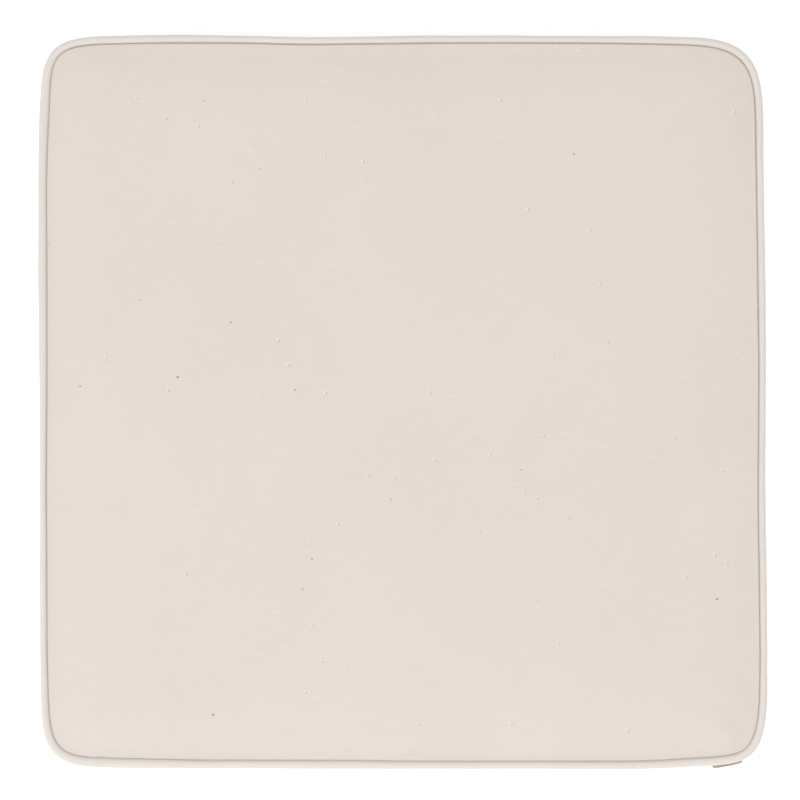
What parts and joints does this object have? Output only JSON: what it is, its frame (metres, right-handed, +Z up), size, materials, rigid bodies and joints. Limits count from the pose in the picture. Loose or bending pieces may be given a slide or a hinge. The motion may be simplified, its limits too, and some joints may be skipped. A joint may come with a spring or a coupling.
{
  "type": "seat pad",
  "caption": "Square boxed chair seat pad in unbleached canvas with self-fabric piping round both edges, a zip in the back and a small plain leather tab in the lower front seam.",
  "frame": {"origin": "middle of the underside, on the surface that the pad lies on", "axes": "+Z up out of the seat face, +X to the sitter's right along the front edge, -Y towards the front edge, so the zip is on the +Y side"},
  "size_m": [0.446, 0.4541, 0.05],
  "materials": {
    "canvas": "matte",
    "piping_canvas": "matte",
    "cotton_cord": "matte",
    "foam": "matte",
    "wadding": "matte",
    "zip_tape": "matte",
    "coil_nylon": "satin",
    "nickel": "satin",
    "leather": "matte"
  },
  "bodies": {
    "pad": {"foam_core": "foam", "wadding_top": "wadding", "wadding_bottom": "wadding", "top_panel": "canvas", "bottom_panel": "canvas", "boxing_strip": "canvas", "zip_panel_upper": "canvas", "zip_panel_lower": "canvas", "piping_cover_top": "piping_canvas", "piping_cover_bottom": "piping_canvas", "piping_cord_top": "cotton_cord", "piping_cord_bottom": "cotton_cord", "leather_tab": "leather", "zip_tape_upper": "zip_tape", "zip_tape_lower": "zip_tape", "zip_coil_upper": "coil_nylon", "zip_coil_lower": "coil_nylon", "zip_top_stop_upper": "nickel", "zip_top_stop_lower": "nickel", "zip_bottom_stop": "nickel"},
    "slider": {"zip_slider": "nickel"},
    "pull": {"zip_pull": "nickel"}
  },
  "joints": [
    {"name": "zip_slide", "type": "slide", "parent": "pad", "child": "slider", "axis": [-1, 0, 0], "range_m": [0, 0.2904]},
    {"name": "pull_swing", "type": "hinge", "parent": "slider", "child": "pull", "pos_m": [0.1457, 0.22115, 0.025], "axis": [0, 0, -1], "range_deg": [0, 178]}
  ]
}
